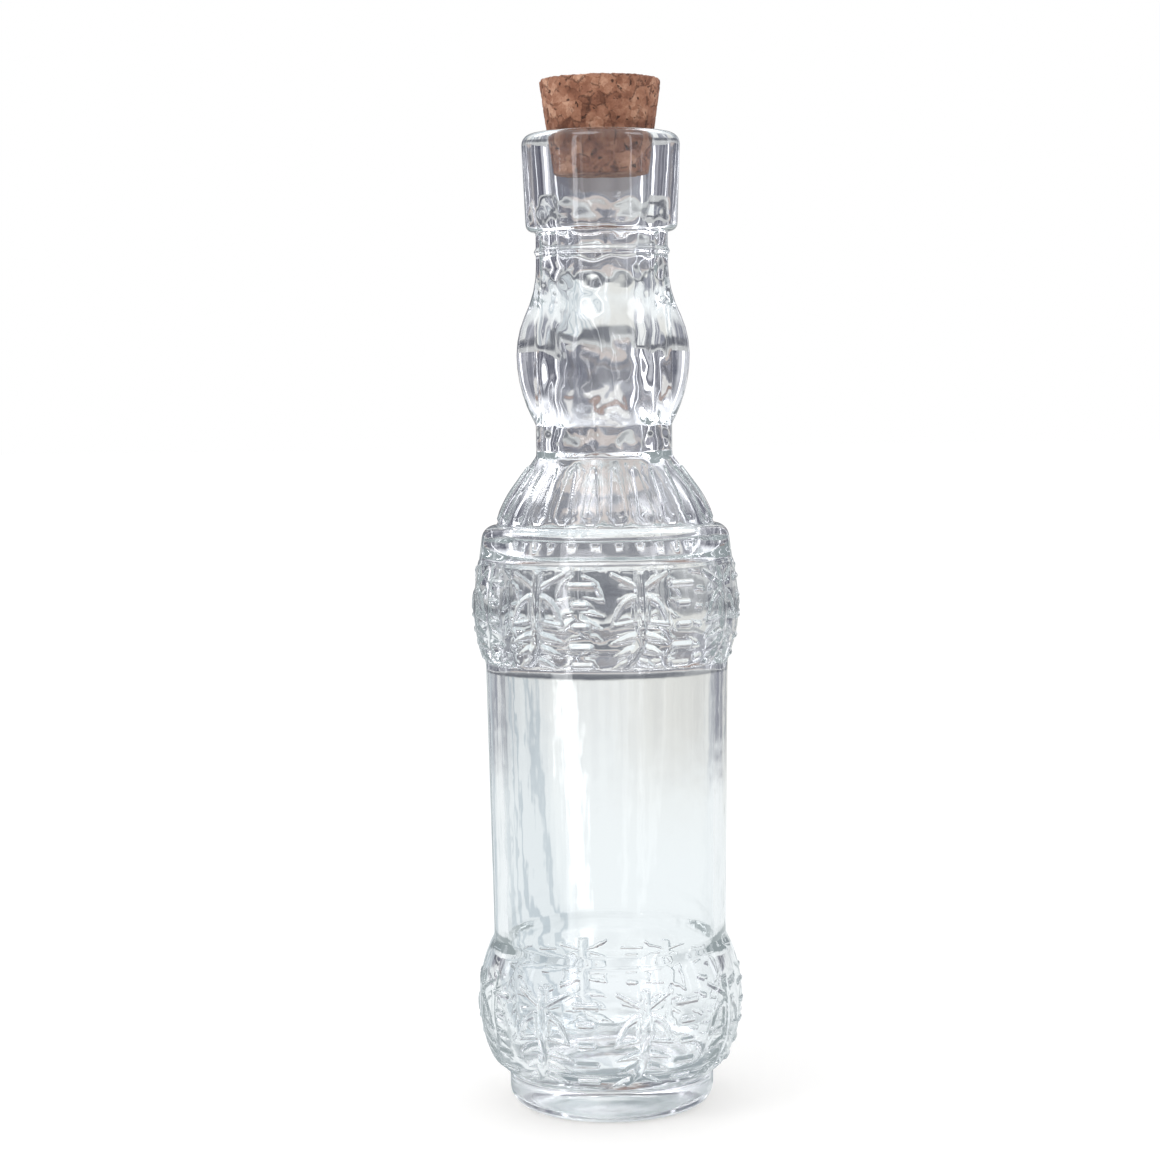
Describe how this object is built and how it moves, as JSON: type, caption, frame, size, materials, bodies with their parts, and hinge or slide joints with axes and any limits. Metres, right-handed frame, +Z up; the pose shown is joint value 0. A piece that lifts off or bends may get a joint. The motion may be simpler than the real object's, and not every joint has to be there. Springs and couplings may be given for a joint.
{
  "type": "corked glass bottle",
  "caption": "Round clear glass bottle with two bands of raised sprigs, a fluted dome shoulder, an onion-shaped neck and a tapered cork in its mouth ring.",
  "frame": {"origin": "centre of the resting ring under the foot", "axes": "+Z up along the bottle's axis, -Y towards the side that the picture shows, +X to its right"},
  "size_m": [0.0454, 0.0454, 0.1714],
  "materials": {
    "glass": "clear pressed and blown glass, glossy",
    "cork": "fine agglomerated cork, matte"
  },
  "bodies": {
    "bottle": {"bottle": "glass"},
    "cork": {"cork_stopper": "cork"}
  },
  "joints": [
    {"name": "cork_pull", "type": "slide", "parent": "bottle", "child": "cork", "axis": [0, 0, 1], "range_m": [0, 0.015]}
  ]
}
